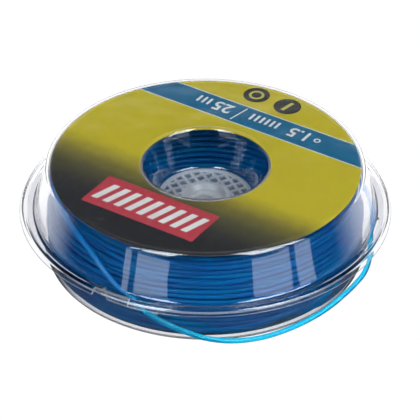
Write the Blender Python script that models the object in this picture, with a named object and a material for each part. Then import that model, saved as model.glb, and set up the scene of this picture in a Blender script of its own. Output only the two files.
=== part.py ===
"""Clear two-part spool case holding a wound nylon line.

The case is two thin formed sheets, each a ring-shaped trough around a hub well,
closed flange to flange. A printed card ring lies behind each flat face, the line is
wound in the ring-shaped space, and its outer stretch leaves the case through one
window, runs round the lower wall and goes back in through a second window.

Frame: origin at the centre of the face the case stands on, +Z up the hub's axis,
-Y towards the side where the line leaves the case. Lengths are in metres.
"""
import math

import bmesh
import bpy
from mathutils import Matrix, Vector

MM = 0.001

# Driving dimensions
CASE_HEIGHT = 30.0 * MM
SHEET = 0.8 * MM
GAP = 0.3 * MM
MID_PLANE = CASE_HEIGHT / 2
LINE_DIAMETER = 1.5 * MM

# Sheet centreline radii and heights; heights are measured from the mid-plane
WALL_BASE_RADIUS = 49.35 * MM
WALL_TOP_RADIUS = 45.3 * MM
WELL_TOP_RADIUS = 18.3 * MM
WELL_FLOOR_RADIUS = 14.4 * MM
WELL_FLOOR_HEIGHT = 3.15 * MM
DIMPLE_RADIUS = 6.3 * MM
DIMPLE_LEDGE_RADIUS = 5.1 * MM
DIMPLE_LEDGE_HEIGHT = 1.75 * MM
HOLE_LEDGE_RADIUS = 4.4 * MM
HOLE_RADIUS = 3.8 * MM
HOLE_HEIGHT = 0.75 * MM
STUD_RADIUS = 2.6 * MM
STUD_REACH = 1.6 * MM
EDGE_FILLET = 1.8 * MM
WELL_FILLET = 1.2 * MM
BASE_FILLET = 1.2 * MM
SMALL_FILLET = 0.6 * MM

# Flange and rim; the upper flange ends in a raised bead and a short skirt
FLANGE_HEIGHT = (GAP + SHEET) / 2
BEAD_START_RADIUS = 51.3 * MM
BEAD_HEIGHT = 1.0 * MM
RIM_RADIUS = 52.6 * MM
SKIRT_RADIUS = 53.4 * MM
SKIRT_DROP = 0.5 * MM
LOWER_FLANGE_RADIUS = 51.6 * MM

# Windows in the lower shell and the break in the rim above the first one, in degrees
WINDOW_ANGLES = (-115.0, -16.5)
WINDOW_SPAN = 19.0
WINDOW_INNER_RADIUS = 44.0 * MM
WINDOW_OUTER_RADIUS = 50.4 * MM
WINDOW_DEPTH = 4.8 * MM
RIM_BREAK_START = -126.0
RIM_BREAK_END = -113.6
RIM_BREAK_RADIUS = 51.5 * MM

# Card rings behind the flat faces
LABEL_INNER_RADIUS = 18.8 * MM
TOP_LABEL_RADIUS = 44.5 * MM
BOTTOM_LABEL_RADIUS = 43.6 * MM
LABEL_THICKNESS = 0.35 * MM
LABEL_DEPTH = 1.1 * MM

# Wound line, as the ring that its turns fill
COIL_OUTER_RADIUS = 46.3 * MM
COIL_SHOULDER_RADIUS = 43.3 * MM
COIL_FOOT_RADIUS = 44.9 * MM
COIL_INNER_RADIUS = 19.4 * MM
COIL_WAIST_RADIUS = 18.0 * MM
COIL_HALF_HEIGHT = 12.8 * MM
COIL_CORNER = 1.6 * MM
COIL_FOOT_CORNER = 0.9 * MM

RING_STEPS = 48
EDGE_STEPS = 3
BASE_STEPS = 2
SMALL_STEPS = 1
SMOOTH_ANGLE = math.radians(35.0)
ROUTE_SPACING = 2.2 * LINE_DIAMETER
ROUTE_SAMPLES_PER_SPAN = 24

# Outer stretch of the line: angle about the hub in degrees, radius and height
# above the mid-plane in millimetres
TAIL_ROUTE = (
    (-168.0, 44.4, 11.5),
    (-158.0, 44.6, 11.2),
    (-147.0, 44.9, 10.2),
    (-140.5, 45.2, 8.8),
    (-134.0, 45.8, 7.0),
    (-129.0, 46.4, 4.7),
    (-124.5, 47.0, 2.4),
    (-119.6, 47.6, 0.1),
    (-114.6, 48.6, -1.8),
    (-109.8, 49.6, -3.6),
    (-105.0, 49.6, -5.7),
    (-101.5, 49.1, -7.4),
    (-98.0, 48.9, -8.8),
    (-94.5, 48.6, -10.1),
    (-91.0, 48.4, -11.3),
    (-87.0, 48.2, -12.3),
    (-82.0, 47.7, -13.4),
    (-76.0, 47.4, -14.05),
    (-69.0, 47.3, -14.2),
    (-62.0, 47.1, -14.1),
    (-55.0, 47.1, -13.8),
    (-48.0, 47.6, -13.0),
    (-42.0, 48.2, -12.0),
    (-37.0, 49.0, -10.6),
    (-32.5, 50.2, -8.7),
    (-28.0, 51.2, -6.6),
    (-23.5, 51.0, -4.4),
    (-19.0, 50.0, -2.6),
    (-14.0, 48.9, -1.0),
    (-8.0, 48.25, -0.1),
    (0.0, 47.95, 0.3),
    (8.0, 47.55, 1.0),
    (17.0, 47.1, 2.0),
    (27.0, 46.7, 3.6),
    (38.0, 46.3, 5.4),
)


def clear_scene():
    for obj in list(bpy.data.objects):
        bpy.data.objects.remove(obj, do_unlink=True)


def make_material(name, colour, roughness, alpha=1.0, metallic=0.0):
    material = bpy.data.materials.new(name)
    material.use_nodes = True
    shader = material.node_tree.nodes["Principled BSDF"]
    shader.inputs["Base Color"].default_value = (*colour, 1.0)
    shader.inputs["Roughness"].default_value = roughness
    shader.inputs["Metallic"].default_value = metallic
    shader.inputs["Alpha"].default_value = alpha
    material.diffuse_color = (*colour, alpha)
    return material


def link_mesh(name, mesh, material=None):
    obj = bpy.data.objects.new(name, mesh)
    bpy.context.collection.objects.link(obj)
    if material:
        mesh.materials.append(material)
    return obj


def smooth(mesh):
    mesh.shade_smooth()
    mesh.set_sharp_from_angle(angle=SMOOTH_ANGLE)


def rounded(corners):
    """Points of an open line through corners (r, h, fillet radius, steps)."""
    points = [Vector(corners[0][:2])]
    for before, corner, after in zip(corners, corners[1:], corners[2:]):
        here = Vector(corner[:2])
        back = (Vector(before[:2]) - here).normalized()
        ahead = (Vector(after[:2]) - here).normalized()
        points += fillet(here, back, ahead, corner[2], corner[3])
    points.append(Vector(corners[-1][:2]))
    return points


def fillet(corner, back, ahead, radius, steps):
    """Points of the arc that rounds one corner between two directions."""
    half = back.angle(ahead) / 2
    reach = radius / math.tan(half)
    centre = corner + (back + ahead).normalized() * (radius / math.sin(half))
    start = corner + back * reach - centre
    turn = math.copysign(math.pi - 2 * half, back.cross(ahead))
    return [centre + Matrix.Rotation(-turn * step / steps, 2) @ start
            for step in range(steps + 1)]


def sheet_outline(centreline, thickness):
    """Closed outline of a sheet of even thickness along an open centreline."""
    offsets = []
    for index, point in enumerate(centreline):
        before = centreline[max(index - 1, 0)]
        after = centreline[min(index + 1, len(centreline) - 1)]
        normals = [side_normal(a, b) for a, b in ((before, point), (point, after)) if a != b]
        normal = sum(normals, Vector((0.0, 0.0))).normalized()
        offsets.append(normal * (thickness / 2) / normal.dot(normals[0]))
    outer = [point + offset for point, offset in zip(centreline, offsets)]
    inner = [point - offset for point, offset in zip(centreline, offsets)]
    return outer + inner[::-1]


def side_normal(start, end):
    direction = (end - start).normalized()
    return Vector((-direction.y, direction.x))


def revolve(name, outline, material):
    """Ring turned from a closed outline of (radius, height) points."""
    mesh_builder = bmesh.new()
    verts = [mesh_builder.verts.new((point[0], 0.0, point[1])) for point in outline]
    edges = [mesh_builder.edges.new(pair) for pair in zip(verts, verts[1:] + verts[:1])]
    bmesh.ops.spin(mesh_builder, geom=verts + edges, cent=(0, 0, 0), axis=(0, 0, 1),
                   dvec=(0, 0, 0), angle=math.tau, steps=RING_STEPS, use_merge=True)
    bmesh.ops.recalc_face_normals(mesh_builder, faces=mesh_builder.faces)
    mesh = bpy.data.meshes.new(name)
    mesh_builder.to_mesh(mesh)
    mesh_builder.free()
    smooth(mesh)
    return link_mesh(name, mesh, material)


def sector_cutter(name, radii, heights, angles):
    """Block between two radii, two heights and two angles, as a Boolean cutter."""
    start, end = (math.radians(angle) for angle in angles)
    corners = [(radii[0], heights[0]), (radii[1], heights[0]),
               (radii[1], heights[1]), (radii[0], heights[1])]
    mesh_builder = bmesh.new()
    verts = [mesh_builder.verts.new((r * math.cos(start), r * math.sin(start), z))
             for r, z in corners]
    face = mesh_builder.faces.new(verts)
    bmesh.ops.spin(mesh_builder, geom=[face], cent=(0, 0, 0), axis=(0, 0, 1),
                   dvec=(0, 0, 0), angle=end - start, steps=4, use_merge=False)
    bmesh.ops.recalc_face_normals(mesh_builder, faces=mesh_builder.faces)
    mesh = bpy.data.meshes.new(name)
    mesh_builder.to_mesh(mesh)
    mesh_builder.free()
    cutter = link_mesh(name, mesh)
    cutter.hide_render = True
    cutter.display_type = "WIRE"
    return cutter


def cut(obj, cutter):
    modifier = obj.modifiers.new(cutter.name, "BOOLEAN")
    modifier.operation = "DIFFERENCE"
    modifier.solver = "EXACT"
    modifier.object = cutter


def trough_corners():
    """Corners shared by both shells, from the wall's base to the hub's ledge."""
    top = MID_PLANE - SHEET / 2
    return [
        (WALL_BASE_RADIUS, FLANGE_HEIGHT, BASE_FILLET, BASE_STEPS),
        (WALL_TOP_RADIUS, top, EDGE_FILLET, EDGE_STEPS),
        (WELL_TOP_RADIUS, top, WELL_FILLET, EDGE_STEPS),
        (WELL_FLOOR_RADIUS, WELL_FLOOR_HEIGHT, BASE_FILLET, BASE_STEPS),
        (DIMPLE_RADIUS, WELL_FLOOR_HEIGHT, SMALL_FILLET, SMALL_STEPS),
        (DIMPLE_LEDGE_RADIUS, DIMPLE_LEDGE_HEIGHT, SMALL_FILLET, SMALL_STEPS),
    ]


def upper_shell(material):
    rim = [
        (SKIRT_RADIUS, -SKIRT_DROP, 0.0, 0),
        (RIM_RADIUS, BEAD_HEIGHT, SMALL_FILLET, SMALL_STEPS),
        (BEAD_START_RADIUS, FLANGE_HEIGHT, SMALL_FILLET, SMALL_STEPS),
    ]
    hole = [
        (HOLE_LEDGE_RADIUS, DIMPLE_LEDGE_HEIGHT, SMALL_FILLET, SMALL_STEPS),
        (HOLE_RADIUS, HOLE_HEIGHT, 0.0, 0),
    ]
    outline = sheet_outline(rounded(rim + trough_corners() + hole), SHEET)
    shell = revolve("upper_shell", above(outline), material)
    heights = (MID_PLANE - 3 * MM, MID_PLANE + 3 * MM)
    radii = (RIM_BREAK_RADIUS, SKIRT_RADIUS + 3 * MM)
    rim_break = sector_cutter("rim_break", radii, heights, (RIM_BREAK_START, RIM_BREAK_END))
    cut(shell, rim_break)
    return shell


def lower_shell(material):
    flange = [(LOWER_FLANGE_RADIUS, FLANGE_HEIGHT, 0.0, 0)]
    stud = [
        (STUD_RADIUS + 0.3 * MM, DIMPLE_LEDGE_HEIGHT, SMALL_FILLET, SMALL_STEPS),
        (STUD_RADIUS, -STUD_REACH, 0.0, 0),
    ]
    outline = sheet_outline(rounded(flange + trough_corners() + stud), SHEET)
    shell = revolve("lower_shell", below(outline), material)
    radii = (WINDOW_INNER_RADIUS, WINDOW_OUTER_RADIUS)
    heights = (MID_PLANE - WINDOW_DEPTH, MID_PLANE + 1 * MM)
    for number, angle in enumerate(WINDOW_ANGLES, 1):
        angles = (angle - WINDOW_SPAN / 2, angle + WINDOW_SPAN / 2)
        cut(shell, sector_cutter(f"window_{number}", radii, heights, angles))
    return shell


def above(outline):
    return [(point[0], MID_PLANE + point[1]) for point in outline]


def below(outline):
    return [(point[0], MID_PLANE - point[1]) for point in outline]


def label(name, outer_radius, place, material):
    """Flat card ring; place puts its outline above or below the mid-plane."""
    outer_face = MID_PLANE - LABEL_DEPTH
    inner_face = outer_face - LABEL_THICKNESS
    outline = [(LABEL_INNER_RADIUS, outer_face), (outer_radius, outer_face),
               (outer_radius, inner_face), (LABEL_INNER_RADIUS, inner_face)]
    return revolve(name, place(outline), material)


def coil_outline(outer_radius, corner):
    """Half of the coil's outline, from the inner shoulder out to the outer one."""
    inner_shoulder = COIL_HALF_HEIGHT - COIL_CORNER
    return [(COIL_INNER_RADIUS, inner_shoulder),
            (COIL_INNER_RADIUS + COIL_CORNER, COIL_HALF_HEIGHT),
            (outer_radius - corner, COIL_HALF_HEIGHT),
            (outer_radius, COIL_HALF_HEIGHT - corner)]


def line_coil(material):
    """Ring that the turns fill, slumped outwards at its foot."""
    upper_half = coil_outline(COIL_SHOULDER_RADIUS, COIL_CORNER)
    lower_half = coil_outline(COIL_FOOT_RADIUS, COIL_FOOT_CORNER)
    mirrored = [(radius, -height) for radius, height in lower_half[::-1]]
    seam = [(COIL_OUTER_RADIUS, 0.0)]
    waist = [(COIL_WAIST_RADIUS, 0.0)]
    return revolve("line_coil", above(upper_half + seam + mirrored + waist), material)


def route_point(angle, radius, height):
    turn = math.radians(angle)
    return Vector((radius * MM * math.cos(turn), radius * MM * math.sin(turn),
                   MID_PLANE + height * MM))


def smooth_route(points):
    """Dense points on a Catmull-Rom curve through the route's own points."""
    ends = [points[0] * 2 - points[1]] + points + [points[-1] * 2 - points[-2]]
    dense = [points[0]]
    for a, b, c, d in zip(ends, ends[1:], ends[2:], ends[3:]):
        for step in range(1, ROUTE_SAMPLES_PER_SPAN + 1):
            t = step / ROUTE_SAMPLES_PER_SPAN
            dense.append(0.5 * (2 * b + (c - a) * t + (2 * a - 5 * b + 4 * c - d) * t ** 2
                                + (3 * b - a - 3 * c + d) * t ** 3))
    return dense


def even_points(dense, spacing):
    """Points at an even spacing along a dense line, both ends kept."""
    travelled = [0.0]
    for start, end in zip(dense, dense[1:]):
        travelled.append(travelled[-1] + (end - start).length)
    spans = round(travelled[-1] / spacing)
    points = [dense[0]]
    index = 0
    for number in range(1, spans):
        target = travelled[-1] * number / spans
        while travelled[index + 1] < target:
            index += 1
        share = (target - travelled[index]) / (travelled[index + 1] - travelled[index])
        points.append(dense[index].lerp(dense[index + 1], share))
    return points + [dense[-1]]


def line_tail(material):
    route = [route_point(*place) for place in TAIL_ROUTE]
    points = even_points(smooth_route(route), ROUTE_SPACING)
    curve = bpy.data.curves.new("line_tail", "CURVE")
    curve.dimensions = "3D"
    curve.bevel_depth = LINE_DIAMETER / 2
    curve.bevel_resolution = 2
    curve.render_resolution_u = 0
    curve.use_fill_caps = True
    spline = curve.splines.new("POLY")
    spline.points.add(len(points) - 1)
    for spline_point, point in zip(spline.points, points):
        spline_point.co = (*point, 1.0)
    curve.materials.append(material)
    obj = bpy.data.objects.new("line_tail", curve)
    bpy.context.collection.objects.link(obj)
    return obj


def build():
    clear_scene()
    clear_plastic = make_material("clear_plastic", (0.86, 0.88, 0.92), 0.08, alpha=0.3)
    printed_card = make_material("printed_card", (0.45, 0.39, 0.02), 0.45)
    wound_line = make_material("wound_line", (0.0, 0.09, 0.33), 0.3)
    free_line = make_material("free_line", (0.0, 0.42, 0.75), 0.25)
    upper_shell(clear_plastic)
    lower_shell(clear_plastic)
    label("top_label", TOP_LABEL_RADIUS, above, printed_card)
    label("bottom_label", BOTTOM_LABEL_RADIUS, below, printed_card)
    line_coil(wound_line)
    line_tail(free_line)


build()
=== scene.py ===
"""Looks of the clear two-part spool case with its wound nylon line.

Shells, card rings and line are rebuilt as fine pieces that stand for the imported
nodes, in the same frame: metres, +Z up the hub, origin under the case's centre.
"""
import math

import bmesh
import bpy
import numpy as np
from mathutils import Matrix, Vector
from mathutils.noise import noise


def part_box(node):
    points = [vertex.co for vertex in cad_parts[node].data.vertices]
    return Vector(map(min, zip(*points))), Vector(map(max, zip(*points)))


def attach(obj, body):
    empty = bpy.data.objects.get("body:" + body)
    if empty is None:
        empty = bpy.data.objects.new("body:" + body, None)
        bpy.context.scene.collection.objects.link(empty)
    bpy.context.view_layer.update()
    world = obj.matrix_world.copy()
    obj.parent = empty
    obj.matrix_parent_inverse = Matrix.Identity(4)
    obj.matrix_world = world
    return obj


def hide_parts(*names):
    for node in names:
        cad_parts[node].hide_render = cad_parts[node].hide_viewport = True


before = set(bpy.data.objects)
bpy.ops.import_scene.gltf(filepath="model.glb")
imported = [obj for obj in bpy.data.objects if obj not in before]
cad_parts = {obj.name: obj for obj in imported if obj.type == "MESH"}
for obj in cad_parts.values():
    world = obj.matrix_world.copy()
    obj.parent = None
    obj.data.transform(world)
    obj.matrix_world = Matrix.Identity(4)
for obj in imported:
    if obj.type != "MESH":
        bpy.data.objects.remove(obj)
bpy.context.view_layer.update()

MM = 0.001

# Sizes that the frame gives
CASE_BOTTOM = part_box("lower_shell")[0][2]
CASE_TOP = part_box("upper_shell")[1][2]
TOP_LABEL_LOW, TOP_LABEL_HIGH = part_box("top_label")
MID_PLANE = (CASE_TOP + CASE_BOTTOM) / 2
HALF_HEIGHT = CASE_TOP - MID_PLANE
LABEL_FACE = TOP_LABEL_HIGH[2] - MID_PLANE
LABEL_THICKNESS = TOP_LABEL_HIGH[2] - TOP_LABEL_LOW[2]

# Sheet and line
SHEET = 0.8 * MM
SHEET_INDEX = 1.5
GAP = 0.3 * MM
LINE_DIAMETER = 1.5 * MM
LINE_LENGTH = 25.0
LABEL_INNER = 18.8 * MM

# Corners of the sheet's centreline: radius, height from the mid-plane, fillet radius
FLANGE_HEIGHT = (GAP + SHEET) / 2
FACE_HEIGHT = HALF_HEIGHT - SHEET / 2
TROUGH = (
    (49.35 * MM, FLANGE_HEIGHT, 1.2 * MM),
    (45.3 * MM, FACE_HEIGHT, 1.8 * MM),
    (18.3 * MM, FACE_HEIGHT, 1.2 * MM),
    (14.4 * MM, 3.15 * MM, 1.2 * MM),
    (6.3 * MM, 3.15 * MM, 0.6 * MM),
    (5.1 * MM, 1.75 * MM, 0.6 * MM),
)
UPPER_RIM = (
    (53.4 * MM, -0.5 * MM, 0.0),
    (52.6 * MM, 1.0 * MM, 0.6 * MM),
    (51.3 * MM, FLANGE_HEIGHT, 0.6 * MM),
)
UPPER_HOLE = ((4.4 * MM, 1.75 * MM, 0.6 * MM), (3.8 * MM, 0.75 * MM, 0.0))
LOWER_RIM = ((51.6 * MM, FLANGE_HEIGHT, 0.0),)
LOWER_STUD = ((2.9 * MM, 1.75 * MM, 0.6 * MM), (2.6 * MM, -1.6 * MM, 0.0))

# Windows in the lower shell and the break in the upper rim: angles about the hub in
# degrees, radii, and heights from the mid-plane
WINDOW_ANGLES = (-115.0, -16.5)
WINDOW_SPAN = 19.0
WINDOW_RADII = (44.0 * MM, 50.4 * MM)
WINDOW_HEIGHTS = (-4.8 * MM, 1.0 * MM)
RIM_BREAK_ANGLES = (-126.0, -113.6)
RIM_BREAK_RADII = (51.5 * MM, 57.0 * MM)
RIM_BREAK_HEIGHTS = (-3.0 * MM, 3.0 * MM)

# Textured floor of the hub well; the pits are shallower on the sheet's hidden side
PIT_PITCH = 2.85 * MM
PIT_DEPTH = 0.3 * MM
PIT_HIDDEN_SHARE = 0.4
PIT_TURN = math.radians(27.0)
PIT_RADII = (7.0 * MM, 12.5 * MM)
PIT_FADE = 0.5 * MM
PIT_FLOOR_HEIGHTS = (2.4 * MM, 4.0 * MM)

# Dull areas of the sheet: the well's floor, and the ring that the case stands on
FROSTED_RADIUS = 13.6 * MM
FROSTED_HEIGHT = 4.2 * MM
FOOT_RADIUS = 44.0 * MM
FOOT_HEIGHT = 13.4 * MM

# Fineness of the shells; the steps are short between the two fine radii
RING_STEPS = 288
ARC_STEPS = 8
FINE_RADII = (6.6 * MM, 13.4 * MM)
FINE_STEP = 0.22 * MM
WALL_STEP = 1.5 * MM
SMOOTH_ANGLE = math.radians(35.0)

# Outer stretch of the line: angle about the hub in degrees, radius and height above
# the mid-plane in millimetres, as in the part's source
TAIL_ROUTE = (
    (-168.0, 44.4, 11.5),
    (-158.0, 44.6, 11.2),
    (-147.0, 44.9, 10.2),
    (-140.5, 45.2, 8.8),
    (-134.0, 45.8, 7.0),
    (-129.0, 46.4, 4.7),
    (-124.5, 47.0, 2.4),
    (-119.6, 47.6, 0.1),
    (-114.6, 48.6, -1.8),
    (-109.8, 49.6, -3.6),
    (-105.0, 49.6, -5.7),
    (-101.5, 49.1, -7.4),
    (-98.0, 48.9, -8.8),
    (-94.5, 48.6, -10.1),
    (-91.0, 48.4, -11.3),
    (-87.0, 48.2, -12.3),
    (-82.0, 47.7, -13.4),
    (-76.0, 47.4, -14.05),
    (-69.0, 47.3, -14.2),
    (-62.0, 47.1, -14.1),
    (-55.0, 47.1, -13.8),
    (-48.0, 47.6, -13.0),
    (-42.0, 48.2, -12.0),
    (-37.0, 49.0, -10.6),
    (-32.5, 50.2, -8.7),
    (-28.0, 51.2, -6.6),
    (-23.5, 51.0, -4.4),
    (-19.0, 50.0, -2.6),
    (-14.0, 48.9, -1.0),
    (-8.0, 48.25, -0.1),
    (0.0, 47.95, 0.3),
    (8.0, 47.55, 1.0),
    (17.0, 47.1, 2.0),
    (27.0, 46.7, 3.6),
    (38.0, 46.3, 5.4),
)

# Winding, in millimetres: crossing turns first, then layers from the wall inwards,
# then a loose cone of turns that leans in towards the hub at the foot
TURN_POINTS = 60
LAYER_PITCH = 1.5
LAYER_STEP = 1.45
OUTER_TURNS = 80
OUTER_RADIUS = 45.5
UPPER_SLOPE = 0.262
LOWER_SLOPE = 0.08
UPPER_REACH = 11.6
LOWER_REACH = 12.7
CONE_TOP = (32.5, 11.2)
CONE_FOOT = (20.6, -11.4)
CONE_TURNS = 17
CROSSING_HEIGHTS = (10.6, 4.5, -3.5, -9.5, 7.5)
CROSSING_ANGLES = (-104.0, -34.0)
CROSSING_BULGE = 0.6
RECESS_ANGLES = (-68.0, -50.0)
RECESS_DEPTH = 1.5

# Print on the card rings, in millimetres in a frame turned with the print:
# u along the reading direction, v towards the top of the letters
PRINT_TURN = math.radians(147.2)
STRIPE = (-31.9, -22.9)
STRIPE_EDGE = 0.45
PANEL_U = (-17.8, 19.6)
PANEL_V = (20.0, 34.4)
SPOTS = ((7.3, -38.9, 3.95), (-3.6, -38.6, 4.1))
NUMERAL_HEIGHT = 4.4
NUMERAL_BASE = -30.0
NUMERAL_HEIGHT_SHARE = 0.69
NUMERAL_EXTRA_WEIGHT = 0.11
CARD_EDGE = 0.08 * MM
INK_THICKNESS = 0.03 * MM

# Camera, matched to the object's outlines
CAMERA_ELEVATION = math.radians(34.8)
CAMERA_ROLL = math.radians(0.35)
CAMERA_DISTANCE = 0.926
CAMERA_LENS = 274.3
CAMERA_SHIFT = (1.32 * MM, -1.42 * MM)

# Studio: panes of the two softboxes, as azimuths from the front in degrees, each split
# into three parts by elevation in degrees
PANES = (
    ("left_narrow", (-51.5, -47.5)),
    ("left_wide", (-43.5, -22.5)),
    ("right_wide", (29.5, 55.0)),
    ("right_narrow", (59.3, 71.0)),
)
PANE_DISTANCE = 1.25
PANE_FOOT = (-16.0, -1.5)
PANE_MIDDLE = (3.0, 22.0)
PANE_HEAD = (22.0, 71.0)
PANE_FOOT_BRIGHTNESS = 2.0
PANE_MIDDLE_BRIGHTNESS = 0.7
PANE_HEAD_BRIGHTNESS = 9.5
PANE_COLOUR = (0.9, 0.98, 1.0)

# Table and room; the pairs are the direction's Y or Z, between which a brightness changes
FLOOR_RADIUS = 62.0 * MM
FLOOR_DROP = 0.2 * MM
PAPER_WHITE = 1.02
LIT_FLOOR_LOSS = 0.4
MIRRORED_FLOOR_LOSS = 1.0
ROOM_DARK = 0.025
UNDERNEATH = 1.0
UNDERNEATH_EDGE = (-0.45, -0.3)
BACKDROP = 1.5
BACKDROP_EDGE = (0.0, 0.5)
BACKDROP_TOP = (0.52, 0.552)
BACKDROP_LOW = (0.0, 0.12)
BACKDROP_FADE = 0.3


def polar(angle, radius, height):
    """Point at an angle in degrees, a radius and a height over the mid-plane, in metres."""
    turn = math.radians(angle)
    return Vector((radius * math.cos(turn), radius * math.sin(turn), MID_PLANE + height))


# ---------------------------------------------------------------- camera


def add_camera():
    right = Vector((1.0, 0.0, 0.0))
    ahead = Vector((0.0, math.cos(CAMERA_ELEVATION), -math.sin(CAMERA_ELEVATION)))
    up = right.cross(ahead)
    turned_right = right * math.cos(CAMERA_ROLL) + up * math.sin(CAMERA_ROLL)
    turned_up = up * math.cos(CAMERA_ROLL) - right * math.sin(CAMERA_ROLL)
    place = Vector((0.0, 0.0, MID_PLANE)) - ahead * CAMERA_DISTANCE
    place += turned_right * CAMERA_SHIFT[0] + turned_up * CAMERA_SHIFT[1]
    data = bpy.data.cameras.new("camera")
    data.lens = CAMERA_LENS
    data.sensor_width = 36.0
    data.clip_start = 0.05
    data.clip_end = 20.0
    camera = bpy.data.objects.new("camera", data)
    axes = Matrix((turned_right, turned_up, -ahead)).transposed().to_4x4()
    camera.matrix_world = Matrix.Translation(place) @ axes
    bpy.context.collection.objects.link(camera)
    bpy.context.scene.camera = camera


# ---------------------------------------------------------------- node helpers


class NodeCalls:
    """Short calls for building the node tree of a material or a world."""

    def __init__(self, owner):
        owner.use_nodes = True
        self.tree = owner.node_tree

    def add(self, kind, **settings):
        node = self.tree.nodes.new(kind)
        for key, value in settings.items():
            setattr(node, key, value)
        return node

    def link(self, source, target):
        self.tree.links.new(source, target)

    def fill(self, socket, value):
        if isinstance(value, bpy.types.NodeSocket):
            self.link(value, socket)
        elif isinstance(value, tuple) and socket.type == "RGBA":
            socket.default_value = (*value, 1.0)
        else:
            socket.default_value = value

    def math(self, operation, first, second=0.0, third=None):
        node = self.add("ShaderNodeMath", operation=operation)
        self.fill(node.inputs[0], first)
        self.fill(node.inputs[1], second)
        if third is not None:
            self.fill(node.inputs[2], third)
        return node.outputs[0]

    def remap(self, value, low, high, to_low=0.0, to_high=1.0, smooth=True):
        node = self.add("ShaderNodeMapRange")
        node.interpolation_type = "SMOOTHSTEP" if smooth else "LINEAR"
        for socket, number in zip(node.inputs[:5], (value, low, high, to_low, to_high)):
            self.fill(socket, number)
        return node.outputs[0]

    def mix(self, factor, first, second, blend="MIX"):
        node = self.add("ShaderNodeMix", data_type="RGBA", blend_type=blend)
        self.fill(node.inputs["Factor"], factor)
        self.fill(node.inputs[6], first)
        self.fill(node.inputs[7], second)
        return node.outputs[2]

    def place(self, scale=1.0, turn=0.0):
        """The piece's own coordinates, scaled and turned about Z."""
        coordinates = self.add("ShaderNodeTexCoord")
        mapping = self.add("ShaderNodeMapping")
        mapping.inputs["Rotation"].default_value = (0.0, 0.0, turn)
        mapping.inputs["Scale"].default_value = (scale, scale, scale)
        self.link(coordinates.outputs["Object"], mapping.inputs["Vector"])
        return mapping.outputs[0]

    def distance(self, first, second):
        """Length of a flat vector from its two parts."""
        squares = self.math("MULTIPLY", second, second)
        return self.math("SQRT", self.math("MULTIPLY_ADD", first, first, squares))

    def split(self, vector):
        node = self.add("ShaderNodeSeparateXYZ")
        self.link(vector, node.inputs[0])
        return node.outputs

    def noise(self, vector, scale, detail=2.0, roughness=0.5):
        node = self.add("ShaderNodeTexNoise")
        self.link(vector, node.inputs["Vector"])
        node.inputs["Scale"].default_value = scale
        node.inputs["Detail"].default_value = detail
        node.inputs["Roughness"].default_value = roughness
        return node.outputs["Fac"]

    def bump(self, height, strength, distance):
        node = self.add("ShaderNodeBump")
        node.inputs["Strength"].default_value = strength
        node.inputs["Distance"].default_value = distance
        self.link(height, node.inputs["Height"])
        return node.outputs[0]


class Nodes(NodeCalls):
    """One material's node tree and its main shader."""

    def __init__(self, name):
        self.material = bpy.data.materials.new(name)
        super().__init__(self.material)
        self.shader = self.tree.nodes["Principled BSDF"]
        self.output = self.tree.nodes["Material Output"]

    def set(self, **values):
        for key, value in values.items():
            self.fill(self.shader.inputs[key.replace("_", " ")], value)


# ---------------------------------------------------------------- materials


def clear_plastic():
    """Thin formed sheet: glass-like, faintly violet, lightly waved and scuffed."""
    nodes = Nodes("clear_plastic")
    place = nodes.place()
    waves = nodes.noise(place, 90.0, 1.0)
    scuffs = nodes.noise(place, 2600.0, 3.0, 0.7)
    rough = nodes.remap(scuffs, 0.62, 0.8, 0.035, 0.16)
    nodes.set(Roughness=rough, IOR=SHEET_INDEX, Metallic=0.0)
    nodes.set(Base_Color=(0.955, 0.955, 0.985), Transmission_Weight=1.0)
    nodes.link(nodes.bump(waves, 0.08, 0.0008), nodes.shader.inputs["Normal"])
    rays = nodes.add("ShaderNodeLightPath")
    open_way = nodes.add("ShaderNodeBsdfTransparent")
    open_way.inputs["Color"].default_value = (0.9, 0.9, 0.93, 1.0)
    mixed = nodes.add("ShaderNodeMixShader")
    nodes.link(rays.outputs["Is Shadow Ray"], mixed.inputs[0])
    nodes.link(nodes.shader.outputs[0], mixed.inputs[1])
    nodes.link(open_way.outputs[0], mixed.inputs[2])
    nodes.link(mixed.outputs[0], nodes.output.inputs["Surface"])
    return nodes.material


def frosted_plastic():
    """The same sheet, dull where it was cut and on the ribs between the hub's pits, with painted
    shade darkening the pits.
    """
    nodes = Nodes("frosted_plastic")
    grain = nodes.noise(nodes.place(1.0 / MM), 4.0, 3.0, 0.6)
    x, y, _ = nodes.split(nodes.place(1.0 / MM))
    radius = nodes.distance(x, y)
    u, v, _ = nodes.split(nodes.place(1.0 / PIT_PITCH, -PIT_TURN))
    across, along = (nodes.math("PINGPONG", nodes.math("ABSOLUTE", part), 0.5) for part in (u, v))
    reach = nodes.math("MAXIMUM", across, along)
    pits = nodes.math("MULTIPLY", nodes.remap(reach, 0.3, 0.38, 1.0, 0.0),
                      band(nodes, radius, PIT_RADII[0] / MM + 0.2, PIT_RADII[1] / MM - 0.2, 0.3))
    dull = nodes.remap(grain, 0.3, 0.7, 0.25, 0.45)
    rough = nodes.math("MULTIPLY_ADD", pits, -0.2, dull)
    # Painted shade: the pits get a darker grey-blue than the ribs
    base = nodes.mix(pits, (0.93, 0.935, 0.97), (0.42, 0.47, 0.56))
    nodes.set(Base_Color=base, Roughness=rough, IOR=SHEET_INDEX, Transmission_Weight=0.88)
    nodes.link(nodes.bump(grain, 0.2, 0.00006), nodes.shader.inputs["Normal"])
    return nodes.material


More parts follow.
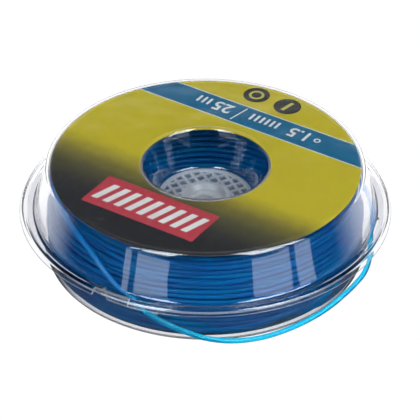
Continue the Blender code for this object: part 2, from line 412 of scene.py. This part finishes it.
def nylon(name, colour, deep, through, bending, painted_shade_colour=None):
    """Drawn nylon: coloured through and shaded along each strand; a painted-shade colour, when
    given, darkens it inside the case.
    """
    nodes = Nodes(name)
    x, y, z = nodes.split(nodes.place(1.0 / MM))
    radius = nodes.distance(x, y)
    along = nodes.add("ShaderNodeCombineXYZ")
    turned = nodes.math("MULTIPLY", nodes.math("DIVIDE", x, radius), 2.6)
    nodes.fill(along.inputs[0], nodes.math("MULTIPLY_ADD", radius, 0.55, turned))
    nodes.fill(along.inputs[1], nodes.math("MULTIPLY", nodes.math("DIVIDE", y, radius), 2.6))
    nodes.fill(along.inputs[2], nodes.math("MULTIPLY", z, 0.55))
    shades = nodes.noise(along.outputs[0], 1.3, 3.0, 0.6)
    base = nodes.mix(nodes.remap(shades, 0.32, 0.68), colour, deep)
    # Painted shade: a darker colour where the line runs above the mid-plane, inside the case
    if painted_shade_colour:
        inside = nodes.remap(z, MID_PLANE / MM - 2.0, MID_PLANE / MM + 0.5)
        base = nodes.mix(inside, base, painted_shade_colour)
    nodes.set(Base_Color=base, Roughness=nodes.remap(shades, 0.3, 0.7, 0.12, 0.24))
    nodes.set(IOR=bending, Transmission_Weight=through)
    nodes.link(nodes.bump(shades, 0.1, 0.0001), nodes.shader.inputs["Normal"])
    return nodes.material


def band(nodes, value, low, high, soft=0.06):
    """1 between low and high with short soft edges, 0 outside."""
    rise = nodes.remap(value, low - soft, low + soft)
    fall = nodes.remap(value, high - soft, high + soft)
    return nodes.math("SUBTRACT", rise, fall)


def printed_card(name):
    """Card print: yellow fading to black, a teal stripe, a red panel, two dark spots."""
    nodes = Nodes(name)
    depth = nodes.split(nodes.place(1.0 / MM))[2]
    printed_face = (MID_PLANE + LABEL_FACE) / MM
    on_face = nodes.remap(depth, printed_face - 0.12, printed_face - 0.06)
    place = nodes.place(1.0 / MM, -PRINT_TURN)
    u, v, _ = nodes.split(place)
    mottle = nodes.noise(place, 0.35, 3.0)
    grain = nodes.noise(place, 9.0, 2.0)
    shade = nodes.math("ADD", v, nodes.math("MULTIPLY", mottle, 2.0))
    ramp = nodes.add("ShaderNodeValToRGB")
    stops = ((0.0, (0.27, 0.215, 0.004)), (0.14, (0.19, 0.152, 0.006)), (0.3, (0.09, 0.073, 0.009)),
             (0.5, (0.034, 0.03, 0.01)), (0.75, (0.009, 0.008, 0.008)), (1.0, (0.004, 0.004, 0.005)))
    while len(ramp.color_ramp.elements) < len(stops):
        ramp.color_ramp.elements.new(0.5)
    for element, (position, colour) in zip(ramp.color_ramp.elements, stops):
        element.position = position
        element.color = (*colour, 1.0)
    nodes.link(nodes.remap(shade, 7.0, 36.0, smooth=False), ramp.inputs[0])
    colour = ramp.outputs[0]
    border = band(nodes, v, STRIPE[0] - STRIPE_EDGE, STRIPE[1] + STRIPE_EDGE)
    stripe = band(nodes, v, *STRIPE)
    colour = nodes.mix(border, colour, (0.3, 0.33, 0.27))
    colour = nodes.mix(stripe, colour, (0.0, 0.06, 0.115))
    panel = nodes.math("MULTIPLY", band(nodes, u, *PANEL_U), band(nodes, v, *PANEL_V))
    colour = nodes.mix(panel, colour, (0.24, 0.018, 0.026))
    for centre_u, centre_v, radius in SPOTS:
        across = nodes.math("SUBTRACT", u, centre_u)
        along = nodes.math("SUBTRACT", v, centre_v)
        reach = nodes.distance(along, across)
        inside = nodes.remap(reach, radius - 0.08, radius + 0.08, 1.0, 0.0)
        colour = nodes.mix(inside, colour, (0.01, 0.009, 0.009))
    colour = nodes.mix(nodes.remap(grain, 0.4, 0.8, 0.0, 0.06), colour, (0.6, 0.6, 0.55))
    streak = nodes.add("ShaderNodeCombineXYZ")
    nodes.fill(streak.inputs[0], nodes.math("MULTIPLY", u, 0.16))
    wander = nodes.math("MULTIPLY", mottle, 9.0)
    nodes.fill(streak.inputs[1], nodes.math("MULTIPLY_ADD", v, 2.2, wander))
    scratches = nodes.remap(nodes.noise(streak.outputs[0], 1.0, 2.0), 0.68, 0.78, 0.0, 0.3)
    colour = nodes.mix(scratches, colour, (0.4, 0.39, 0.34))
    board = nodes.mix(grain, (0.03, 0.034, 0.045), (0.045, 0.05, 0.06))
    colour = nodes.mix(on_face, board, colour)
    nodes.set(Base_Color=colour, Roughness=nodes.remap(mottle, 0.3, 0.7, 0.32, 0.5))
    nodes.set(IOR=1.45, Specular_IOR_Level=0.15)
    nodes.link(nodes.bump(grain, 0.12, 0.00005), nodes.shader.inputs["Normal"])
    return nodes.material


def print_ink(name, colour):
    nodes = Nodes(name)
    place = nodes.place(1.0 / MM)
    wear = nodes.noise(place, 2.5, 3.0)
    base = nodes.mix(nodes.remap(wear, 0.35, 0.75, 0.0, 0.3), colour, (0.25, 0.24, 0.21))
    nodes.set(Base_Color=base, Roughness=nodes.remap(wear, 0.3, 0.7, 0.35, 0.5))
    return nodes.material


def floor_material():
    """Evenly lit white table, dimmer where it lights the case, nearly dark in reflections."""
    nodes = Nodes("floor")
    rays = nodes.add("ShaderNodeLightPath").outputs
    mirrored = nodes.math("MINIMUM", rays["Glossy Depth"], 1.0)
    strength = nodes.math("MULTIPLY_ADD", rays["Is Diffuse Ray"], -LIT_FLOOR_LOSS, PAPER_WHITE)
    strength = nodes.math("MULTIPLY_ADD", mirrored, -MIRRORED_FLOOR_LOSS, strength)
    strength = nodes.math("MAXIMUM", strength, 0.0)
    place = nodes.place()
    cloud = nodes.noise(place, 12.0, 2.0)
    nodes.set(Base_Color=nodes.mix(cloud, (0.02, 0.02, 0.02), (0.03, 0.03, 0.03)), Roughness=0.8)
    nodes.set(Emission_Color=(1.0, 1.0, 1.0), Emission_Strength=strength)
    return nodes.material


# ---------------------------------------------------------------- shells


def rounded(corners):
    """Points of an open line through corners (r, h, fillet radius)."""
    points = [Vector(corners[0][:2])]
    for before, corner, after in zip(corners, corners[1:], corners[2:]):
        here = Vector(corner[:2])
        back = (Vector(before[:2]) - here).normalized()
        ahead = (Vector(after[:2]) - here).normalized()
        points += fillet(here, back, ahead, corner[2])
    points.append(Vector(corners[-1][:2]))
    return points


def fillet(corner, back, ahead, radius):
    """Points of the arc that rounds one corner between two directions."""
    half = back.angle(ahead) / 2
    centre = corner + (back + ahead).normalized() * (radius / math.sin(half))
    start = corner + back * (radius / math.tan(half)) - centre
    turn = math.copysign(math.pi - 2 * half, back.cross(ahead))
    return [centre + Matrix.Rotation(-turn * step / ARC_STEPS, 2) @ start
            for step in range(ARC_STEPS + 1)]


def divided(points):
    """The same line with short steps, finest on the textured floor."""
    line = [points[0]]
    for start, end in zip(points, points[1:]):
        fine = max(start.x, end.x) < FINE_RADII[1] and min(start.x, end.x) > FINE_RADII[0]
        step = FINE_STEP if fine else WALL_STEP
        count = max(1, round((end - start).length / step))
        line += [start.lerp(end, number / count) for number in range(1, count + 1)]
    return line


def sheet_outline(line):
    """Two faces of the sheet along an open centreline, as one closed outline."""
    left, right = [], []
    for index, point in enumerate(line):
        before = line[max(index - 1, 0)]
        after = line[min(index + 1, len(line) - 1)]
        normals = [side_normal(a, b) for a, b in ((before, point), (point, after)) if a != b]
        normal = sum(normals, Vector((0.0, 0.0))).normalized()
        offset = normal * (SHEET / 2) / normal.dot(normals[0])
        left.append(point + offset)
        right.append(point - offset)
    return left + right[::-1]


def side_normal(start, end):
    direction = (end - start).normalized()
    return Vector((-direction.y, direction.x))


def pit_share(x, y):
    """1 at the bottom of a pit of the textured floor, 0 on the ribs between pits."""
    u = (x * math.cos(PIT_TURN) + y * math.sin(PIT_TURN)) / PIT_PITCH
    v = (y * math.cos(PIT_TURN) - x * math.sin(PIT_TURN)) / PIT_PITCH
    across = np.abs(u - np.round(u)) * 2
    along = np.abs(v - np.round(v)) * 2
    reach = (across ** 4 + along ** 4) ** 0.25
    radius = np.hypot(x, y)
    inside = smoothstep(PIT_RADII[1], PIT_RADII[1] - PIT_FADE, radius)
    outside = smoothstep(PIT_RADII[0], PIT_RADII[0] + PIT_FADE, radius)
    return smoothstep(0.86, 0.5, reach) * inside * outside


def smoothstep(low, high, value):
    share = np.clip((value - low) / (high - low), 0.0, 1.0)
    return share * share * (3 - 2 * share)


def ring_mesh(outline, steps=RING_STEPS):
    """Closed ring turned from a closed outline of (radius, height) points."""
    radii = np.array([point[0] for point in outline])
    heights = np.array([point[1] for point in outline])
    turns = np.arange(steps) * (math.tau / steps)
    x = np.outer(np.cos(turns), radii)
    y = np.outer(np.sin(turns), radii)
    z = np.broadcast_to(heights, x.shape).copy()
    count = len(outline)
    faces = []
    for ring in range(steps):
        following = (ring + 1) % steps
        for side in range(count):
            after = (side + 1) % count
            faces.append((ring * count + side, ring * count + after,
                          following * count + after, following * count + side))
    return x, y, z, faces


def linked(name, data):
    """A new object that holds the data, put into the scene."""
    obj = bpy.data.objects.new(name, data)
    bpy.context.collection.objects.link(obj)
    return obj


def closed_mesh(name, points, faces, material):
    """Mesh with its faces turned outwards and one material."""
    mesh = bpy.data.meshes.new(name)
    mesh.from_pydata(points, [], faces)
    builder = bmesh.new()
    builder.from_mesh(mesh)
    bmesh.ops.recalc_face_normals(builder, faces=builder.faces)
    builder.to_mesh(mesh)
    builder.free()
    mesh.materials.append(material)
    return mesh


def smooth_object(name, x, y, z, faces, material):
    points = np.stack([x, y, z], -1).reshape(-1, 3).tolist()
    mesh = closed_mesh(name, points, faces, material)
    mesh.shade_smooth()
    mesh.set_sharp_from_angle(angle=SMOOTH_ANGLE)
    return linked(name, mesh)


def shell(name, corners, side, material, frosted):
    """One half of the case; side is 1 for the upper half and -1 for the lower."""
    line = divided(rounded(corners))
    outline = sheet_outline(line)
    x, y, z, faces = ring_mesh(outline)
    radius = np.hypot(x, y)
    outer_face = np.broadcast_to(np.arange(len(outline)) >= len(line), z.shape)
    on_floor = (z > PIT_FLOOR_HEIGHTS[0]) & (z < PIT_FLOOR_HEIGHTS[1])
    on_floor &= (radius > PIT_RADII[0]) & (radius < PIT_RADII[1])
    depth = np.where(outer_face, PIT_DEPTH, PIT_DEPTH * PIT_HIDDEN_SHARE)
    z = np.where(on_floor, z - depth * pit_share(x, y), z)
    obj = smooth_object(name, x, y, MID_PLANE + side * z, faces, material)
    obj.data.materials.append(frosted)
    for face in obj.data.polygons:
        cut_edge = face.index % len(outline) in (len(line) - 1, len(outline) - 1)
        reach = math.hypot(face.center.x, face.center.y)
        height = side * (face.center.z - MID_PLANE)
        textured = reach < FROSTED_RADIUS and height < FROSTED_HEIGHT
        foot = side < 0 and reach > FOOT_RADIUS and height > FOOT_HEIGHT
        face.material_index = int(cut_edge or textured or foot)
    return obj


def sector(name, radii, heights, angles, material):
    """Block between two radii, heights and angles, to cut with."""
    turns = np.radians(np.linspace(angles[0], angles[1], 9))
    corners = [(radii[0], heights[0]), (radii[1], heights[0]),
               (radii[1], heights[1]), (radii[0], heights[1])]
    points = [(r * math.cos(turn), r * math.sin(turn), MID_PLANE + h)
              for turn in turns for r, h in corners]
    faces = [(0, 1, 2, 3), tuple(len(points) - 4 + side for side in range(4))]
    for ring in range(len(turns) - 1):
        for side in range(4):
            after = (side + 1) % 4
            faces.append((ring * 4 + side, ring * 4 + after,
                          ring * 4 + 4 + after, ring * 4 + 4 + side))
    return linked(name, closed_mesh(name, points, faces, material))


def cut_away(obj, cutters):
    """Cuts blocks out of a piece and keeps the result as its mesh."""
    for cutter in cutters:
        modifier = obj.modifiers.new("cut", "BOOLEAN")
        modifier.operation = "DIFFERENCE"
        modifier.solver = "EXACT"
        modifier.material_mode = "TRANSFER"
        modifier.object = cutter
    shape = obj.evaluated_get(bpy.context.evaluated_depsgraph_get())
    mesh = bpy.data.meshes.new_from_object(shape)
    obj.modifiers.clear()
    obj.data = mesh
    mesh.shade_smooth()
    mesh.set_sharp_from_angle(angle=SMOOTH_ANGLE)
    for cutter in cutters:
        bpy.data.objects.remove(cutter, do_unlink=True)


def add_shells(material, frosted):
    upper = shell("upper_case_sheet", UPPER_RIM + TROUGH + UPPER_HOLE, 1, material, frosted)
    rim_break = sector("rim_break", RIM_BREAK_RADII, RIM_BREAK_HEIGHTS, RIM_BREAK_ANGLES, frosted)
    cut_away(upper, [rim_break])
    lower = shell("lower_case_sheet", LOWER_RIM + TROUGH + LOWER_STUD, -1, material, frosted)
    windows = [sector("window", WINDOW_RADII, WINDOW_HEIGHTS,
                      (angle - WINDOW_SPAN / 2, angle + WINDOW_SPAN / 2), frosted)
               for angle in WINDOW_ANGLES]
    cut_away(lower, windows)
    for obj, node, body in ((upper, "upper_shell", "upper_case"),
                            (lower, "lower_shell", "lower_case")):
        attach(obj, body)
        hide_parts(node)


# ---------------------------------------------------------------- card rings


def turned_over():
    """Half turn about the X axis through the case's centre."""
    return Matrix.Translation((0.0, 0.0, 2 * MID_PLANE)) @ Matrix.Rotation(math.pi, 4, "X")


def add_card(name, node, body, side, material):
    """Flat card ring with softened edges behind one face of the case."""
    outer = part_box(node)[1][0]
    soft = CARD_EDGE
    top, bottom = LABEL_FACE, LABEL_FACE - LABEL_THICKNESS
    outline = [(LABEL_INNER + soft, top)]
    outline += [(radius, top) for radius in np.linspace(LABEL_INNER + MM, outer - MM, 16)]
    outline += [(outer - soft, top), (outer, top - soft), (outer, bottom + soft),
                (outer - soft, bottom), (LABEL_INNER + soft, bottom),
                (LABEL_INNER, bottom + soft), (LABEL_INNER, top - soft)]
    x, y, z, faces = ring_mesh(outline)
    card = smooth_object(name, x, y, MID_PLANE + z, faces, material)
    if side < 0:
        card.matrix_world = turned_over()
    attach(card, body)
    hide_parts(node)


def print_place(u, v, side):
    """Placement on the outer face of a card ring, in the print's own frame."""
    place = Matrix.Translation((0.0, 0.0, MID_PLANE + LABEL_FACE + INK_THICKNESS / 2))
    place = place @ Matrix.Rotation(PRINT_TURN, 4, "Z")
    place = place @ Matrix.Translation((u * MM, v * MM, 0.0))
    return turned_over() @ place if side < 0 else place


def ink_mesh(name, outlines, material):
    """Thin closed slabs from closed outlines of (u, v) points in millimetres."""
    builder = bmesh.new()
    for outline in outlines:
        verts = [builder.verts.new((u * MM, v * MM, -INK_THICKNESS / 2)) for u, v in outline]
        face = builder.faces.new(verts)
        raised = bmesh.ops.extrude_face_region(builder, geom=[face])
        moved = [item for item in raised["geom"] if isinstance(item, bmesh.types.BMVert)]
        bmesh.ops.translate(builder, verts=moved, vec=(0.0, 0.0, INK_THICKNESS))
    bmesh.ops.recalc_face_normals(builder, faces=builder.faces)
    mesh = bpy.data.meshes.new(name)
    builder.to_mesh(mesh)
    builder.free()
    mesh.materials.append(material)
    return linked(name, mesh)


def bar(u, v, width, height, lean=0.0):
    """Upright bar centred on (u, v), leaning sideways by lean over its height."""
    half_width, half_height = width / 2, height / 2
    foot, head = u - lean / 2, u + lean / 2
    return [(foot - half_width, v - half_height), (foot + half_width, v - half_height),
            (head + half_width, v + half_height), (head - half_width, v + half_height)]


def ring_pieces(u, v, outer, inner, parts=24):
    """A flat ring as a loop of four-sided pieces that share no faces."""
    turns = [math.tau * part / parts for part in range(parts + 1)]
    return [[(u + outer * math.cos(a), v + outer * math.sin(a)),
             (u + outer * math.cos(b), v + outer * math.sin(b)),
             (u + inner * math.cos(b), v + inner * math.sin(b)),
             (u + inner * math.cos(a), v + inner * math.sin(a))]
            for a, b in zip(turns, turns[1:])]


def add_numeral(name, text, u, v, height, side, body, material):
    curve = bpy.data.curves.new(name, "FONT")
    curve.body = text
    curve.size = height * MM / NUMERAL_HEIGHT_SHARE
    curve.extrude = INK_THICKNESS / 2
    curve.offset = NUMERAL_EXTRA_WEIGHT * MM
    curve.resolution_u = 4
    curve.materials.append(material)
    obj = linked(name, curve)
    obj.matrix_world = print_place(u, v, side)
    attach(obj, body)


def add_print(prefix, side, body, pale, yellow):
    """Raised ink of one card: plain numbers and plain marks, no words."""
    for name, text, start in (("_size_number", "1.5", -18.4), ("_length_number", "25", 8.9)):
        add_numeral(prefix + name, text, start, NUMERAL_BASE, NUMERAL_HEIGHT, side, body, pale)
    marks = ring_pieces(-20.4, -27.9, 1.05, 0.62, 16)
    marks += [bar(-6.6 + 1.75 * step, -28.3, 0.75, 3.3) for step in range(6)]
    marks += [bar(17.0 + 1.75 * step, -28.3, 0.75, 3.3) for step in range(3)]
    marks.append(bar(6.2, -27.4, 0.45, 7.4, 1.4))
    panel = [bar(-14.2 + 3.78 * step, 27.2, 2.0, 8.4, 2.4) for step in range(9)]
    spots = ring_pieces(SPOTS[0][0], SPOTS[0][1], 2.3, 1.5)
    spots.append(bar(SPOTS[1][0], SPOTS[1][1], 1.1, 4.8, 0.8))
    for name, outlines, ink in (("stripe_marks", marks, pale), ("panel_marks", panel, pale),
                                ("spot_marks", spots, yellow)):
        obj = ink_mesh(f"{prefix}_{name}", outlines, ink)
        obj.matrix_world = print_place(0.0, 0.0, side)
        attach(obj, body)


# ---------------------------------------------------------------- line


def route_points():
    return [polar(angle, radius * MM, height * MM) for angle, radius, height in TAIL_ROUTE]


def curve_object(name, material, sides):
    curve = bpy.data.curves.new(name, "CURVE")
    curve.dimensions = "3D"
    curve.bevel_depth = LINE_DIAMETER / 2
    curve.bevel_resolution = sides
    curve.use_fill_caps = True
    curve.materials.append(material)
    return linked(name, curve)


def add_tail(material):
    """The outer stretch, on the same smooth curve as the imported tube."""
    points = route_points()
    obj = curve_object("line_outer_stretch", material, 4)
    curve = obj.data
    curve.resolution_u = 10
    curve.render_resolution_u = 10
    spline = curve.splines.new("BEZIER")
    spline.bezier_points.add(len(points) - 1)
    ends = [points[0] * 2 - points[1]] + points + [points[-1] * 2 - points[-2]]
    for number, knot in enumerate(spline.bezier_points):
        slope = (ends[number + 2] - ends[number]) / 6
        knot.handle_left_type = knot.handle_right_type = "FREE"
        knot.co = points[number]
        knot.handle_left = points[number] - slope
        knot.handle_right = points[number] + slope
    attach(obj, "lower_case")
    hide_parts("line_tail")
    length = sum(bezier_lengths(ends))
    return length


def bezier_lengths(ends):
    """Length of each span of the smooth curve through the route's points."""
    for a, b, c, d in zip(ends, ends[1:], ends[2:], ends[3:]):
        span = [0.5 * (2 * b + (c - a) * t + (2 * a - 5 * b + 4 * c - d) * t ** 2
                       + (3 * b - a - 3 * c + d) * t ** 3)
                for t in (step / 16 for step in range(17))]
        yield sum((end - start).length for start, end in zip(span, span[1:]))


def outer_radius(height):
    """Largest radius of a strand's centre in the wound ring at a height."""
    slope = UPPER_SLOPE if height > 0 else LOWER_SLOPE
    return OUTER_RADIUS - slope * abs(height)


def winding_turns():
    """Radius and height at the start of each turn, in millimetres, outside in."""
    turns = [(outer_radius(height), height) for height in CROSSING_HEIGHTS]
    direction = -1
    height = UPPER_REACH
    layer = 0
    for _ in range(OUTER_TURNS):
        turns.append((outer_radius(height) - LAYER_STEP * layer, height))
        height += direction * LAYER_PITCH
        if not -LOWER_REACH <= height <= UPPER_REACH:
            height = min(max(height, -LOWER_REACH), UPPER_REACH)
            direction = -direction
            layer += 1
    for step in range(CONE_TURNS + 1):
        share = step / CONE_TURNS
        turns.append((CONE_TOP[0] + (CONE_FOOT[0] - CONE_TOP[0]) * share,
                      CONE_TOP[1] + (CONE_FOOT[1] - CONE_TOP[1]) * share))
    return turns


def winding_points(length):
    """Points of the wound line from its outer end inwards, of the given length."""
    turns = winding_turns()
    start_angle, start_radius, start_height = TAIL_ROUTE[0]
    points = []
    travelled = 0.0
    for number in range((len(turns) - 1) * TURN_POINTS):
        index, share = divmod(number / TURN_POINTS, 1)
        crossing = index < len(CROSSING_HEIGHTS)
        first, second = turns[int(index)], turns[int(index) + 1]
        share = share * share * (3 - 2 * share) if crossing else share
        radius = first[0] + (second[0] - first[0]) * share
        height = first[1] + (second[1] - first[1]) * share
        angle = start_angle - 1.0 - 360.0 * number / TURN_POINTS
        radius, height = loosened(radius, height, angle, number / TURN_POINTS, crossing)
        ease = smoothstep(TURN_POINTS * 0.12, 0.0, number)
        radius += (start_radius - radius) * ease
        height += (start_height - height) * ease
        point = polar(angle, radius * MM, height * MM)
        if points:
            travelled += (point - points[-1]).length
        points.append(point)
        if travelled >= length:
            break
    return points, travelled


def arc_share(angle, start, end, soft=14.0):
    """1 between two angles about the hub with soft ends, 0 elsewhere."""
    middle = (start + end) / 2
    away = abs((angle - middle + 180.0) % 360.0 - 180.0)
    return float(smoothstep((end - start) / 2 + soft, (end - start) / 2 - soft, away))


def loosened(radius, height, angle, turn, crossing):
    """Where a strand really lies: slack waves, turns that cross, a recess in the foot."""
    around = math.radians(angle)
    x, y = math.cos(around), math.sin(around)
    together = noise((x * 1.1, y * 1.1, turn * 0.12)) * 1.6
    alone = noise((x * 1.9 + 7.0, y * 1.9, turn * 0.9)) * 0.3
    slack = noise((x * 1.6, y * 1.6 + 5.0, turn * 0.8))
    foot = float(smoothstep(-7.0, -LOWER_REACH, height))
    inward = (0.35 + 0.7 * slack) * (1 - 0.8 * foot)
    if crossing:
        inward = -CROSSING_BULGE * arc_share(angle, *CROSSING_ANGLES)
        together *= 2.0
    if radius < CONE_TOP[0] + LAYER_PITCH:
        together, alone, inward = together * 0.4, alone * 0.3, inward * 0.3
    height = min(max(height + together + alone, -LOWER_REACH), UPPER_REACH)
    radius = min(radius, outer_radius(height)) - inward
    recess = RECESS_DEPTH * arc_share(angle, *RECESS_ANGLES, 8.0) * foot
    return radius - recess, height


def add_coil(material, length):
    points, travelled = winding_points(length)
    obj = curve_object("line_winding", material, 2)
    spline = obj.data.splines.new("POLY")
    spline.points.add(len(points) - 1)
    flat = [value for point in points for value in (*point, 1.0)]
    spline.points.foreach_set("co", flat)
    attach(obj, "coil")
    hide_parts("line_coil")


# ---------------------------------------------------------------- stage


def add_floor(material):
    """Small round pale table under the case."""
    builder = bmesh.new()
    bmesh.ops.create_circle(builder, cap_ends=True, segments=128, radius=FLOOR_RADIUS)
    mesh = bpy.data.meshes.new("floor")
    builder.to_mesh(mesh)
    builder.free()
    mesh.materials.append(material)
    floor = linked("floor", mesh)
    floor.location = (0.0, 0.0, -FLOOR_DROP)


def softbox(name, azimuths, elevations, brightness):
    """Upright pane seen from the case between two azimuths and two elevations."""
    azimuth = math.radians(sum(azimuths) / 2)
    low, high = (math.tan(math.radians(angle)) * PANE_DISTANCE for angle in elevations)
    width = 2 * PANE_DISTANCE * math.tan(math.radians(azimuths[1] - azimuths[0]) / 2)
    data = bpy.data.lights.new(name, "AREA")
    data.shape = "RECTANGLE"
    data.size, data.size_y = width, high - low
    data.energy = brightness * math.pi * width * (high - low)
    data.color = PANE_COLOUR
    light = bpy.data.objects.new(name, data)
    away = Vector((math.sin(azimuth), -math.cos(azimuth), 0.0))
    light.location = away * PANE_DISTANCE + Vector((0.0, 0.0, (low + high) / 2))
    light.rotation_euler = (-away).to_track_quat("-Z", "Y").to_euler()
    light.visible_camera = False
    bpy.context.collection.objects.link(light)


class Room(NodeCalls):
    """The world's node tree."""

    def __init__(self):
        world = bpy.data.worlds.new("room")
        bpy.context.scene.world = world
        super().__init__(world)
        self.background = self.tree.nodes["Background"]
        self.background.inputs["Color"].default_value = (1.0, 1.0, 1.0, 1.0)
        self.direction = self.split(self.add("ShaderNodeTexCoord").outputs["Generated"])
        self.rays = self.add("ShaderNodeLightPath").outputs

    def choose(self, ray, otherwise, chosen):
        """One strength for a kind of ray and another for all the rest."""
        node = self.add("ShaderNodeMix")
        self.link(self.rays[ray], node.inputs["Factor"])
        self.fill(node.inputs["A"], otherwise)
        self.fill(node.inputs["B"], chosen)
        return node.outputs[0]


def add_lights():
    """Two windowed softboxes in front, in a white room that is dark in front and above."""
    for name, azimuths in PANES:
        softbox(name + "_foot", azimuths, PANE_FOOT, PANE_FOOT_BRIGHTNESS)
        softbox(name + "_middle", azimuths, PANE_MIDDLE, PANE_MIDDLE_BRIGHTNESS)
        softbox(name + "_head", azimuths, PANE_HEAD, PANE_HEAD_BRIGHTNESS)
    room = Room()
    behind = room.remap(room.direction["Y"], *BACKDROP_EDGE, ROOM_DARK, BACKDROP)
    below_top = room.remap(room.direction["Z"], *BACKDROP_TOP, 1.0, ROOM_DARK)
    faded = room.remap(room.direction["Z"], *BACKDROP_LOW, 1.0, BACKDROP_FADE)
    below_top = room.math("MULTIPLY", below_top, faded)
    underneath = room.remap(room.direction["Z"], *UNDERNEATH_EDGE, UNDERNEATH, 0.0)
    mirrored = room.math("MAXIMUM", room.math("MULTIPLY", behind, below_top), underneath)
    strength = room.choose("Is Camera Ray", mirrored, PAPER_WHITE)
    room.tree.links.new(strength, room.background.inputs["Strength"])
    bpy.context.scene.view_settings.view_transform = "Standard"


# ---------------------------------------------------------------- scene

add_camera()
# The free line's last colour is painted shade for its stretch inside the case
free_line = nylon("free_line", (0.0, 0.54, 0.8), (0.0, 0.46, 0.73), 0.8, 1.3, (0.0, 0.3, 0.7))
wound_line = nylon("wound_line", (0.0, 0.26, 0.62), (0.0, 0.15, 0.5), 0.8, 1.15)
tail_length = add_tail(free_line)
add_coil(wound_line, LINE_LENGTH - tail_length)
add_shells(clear_plastic(), frosted_plastic())
card_print = printed_card("card_print")
pale_ink = print_ink("pale_ink", (0.4, 0.4, 0.36))
yellow_ink = print_ink("yellow_ink", (0.27, 0.235, 0.02))
add_card("top_card", "top_label", "upper_case", 1, card_print)
add_card("bottom_card", "bottom_label", "lower_case", -1, card_print)
add_print("top", 1, "upper_case", pale_ink, yellow_ink)
add_print("bottom", -1, "lower_case", pale_ink, yellow_ink)
add_floor(floor_material())
add_lights()
